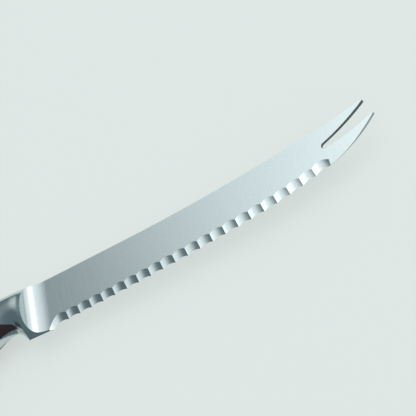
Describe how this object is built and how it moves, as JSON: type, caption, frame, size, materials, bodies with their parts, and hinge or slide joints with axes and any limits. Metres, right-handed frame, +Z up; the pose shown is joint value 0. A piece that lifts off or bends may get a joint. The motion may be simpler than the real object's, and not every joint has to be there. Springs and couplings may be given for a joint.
{
  "type": "tomato knife",
  "caption": "Serrated tomato knife with a forked tip, full bolster with a pointed finger guard, and riveted dark scales on a full tang.",
  "frame": {"origin": "where the middle rivet's axis meets the surface that the knife lies on, on the left side of its handle", "axes": "+X along the knife towards the tip, +Y towards the spine, +Z up out of the right side, on which the scallops are ground"},
  "size_m": [0.2434, 0.0273, 0.015],
  "materials": {
    "blade_steel": "satin ground across the blade, polished bolster",
    "scale_wood": "polished resin-bonded dark wood",
    "rivet_steel": "ground flush and polished"
  },
  "bodies": {
    "root": {"blade": "blade_steel", "scale_right": "scale_wood", "scale_left": "scale_wood", "rivet_front_female": "rivet_steel", "rivet_front_male": "rivet_steel", "rivet_middle_female": "rivet_steel", "rivet_middle_male": "rivet_steel", "rivet_rear_female": "rivet_steel", "rivet_rear_male": "rivet_steel"}
  },
  "joints": []
}
